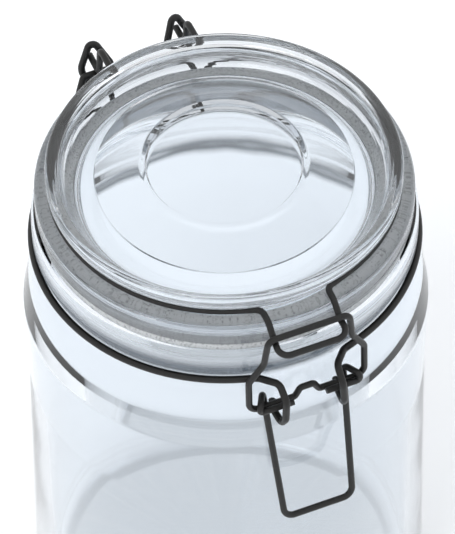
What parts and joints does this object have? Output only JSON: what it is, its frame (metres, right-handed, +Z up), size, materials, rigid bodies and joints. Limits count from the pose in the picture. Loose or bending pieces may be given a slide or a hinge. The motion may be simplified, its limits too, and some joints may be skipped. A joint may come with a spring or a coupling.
{
  "type": "clip-top jar",
  "caption": "Round clear glass storage jar with a flat-topped glass lid, a translucent seal and a black wire clip that clamps the lid shut.",
  "frame": {"origin": "centre of the flat underside of the jar's base", "axes": "+Z up along the jar's axis; the clasp faces -Y and the hinge ears are at +Y; X runs along the clasp's bars"},
  "size_m": [0.1216, 0.1412, 0.191],
  "materials": {
    "glass": "clear polished pressed glass",
    "seal": "translucent soft rubber",
    "wire": "satin black coated steel wire"
  },
  "bodies": {
    "jar": {"jar_glass": "glass", "seal": "seal", "lid_glass": "glass", "lid_wire": "wire", "neck_wire": "wire"},
    "lever": {"lever": "wire"},
    "link": {"link": "wire"}
  },
  "joints": [
    {"name": "lever_pivot", "type": "hinge", "parent": "jar", "child": "lever", "pos_m": [0, -0.0628, 0.153], "axis": [-1, 0, 0], "range_deg": [0, 90]},
    {"name": "link_pivot", "type": "hinge", "parent": "lever", "child": "link", "pos_m": [0, -0.06053, 0.15239], "axis": [-1, 0, 0], "range_deg": [-157.5, 0]}
  ],
  "couplings": [
    {"joint": "link_pivot", "follows": "lever_pivot", "ratio": -1.75}
  ]
}
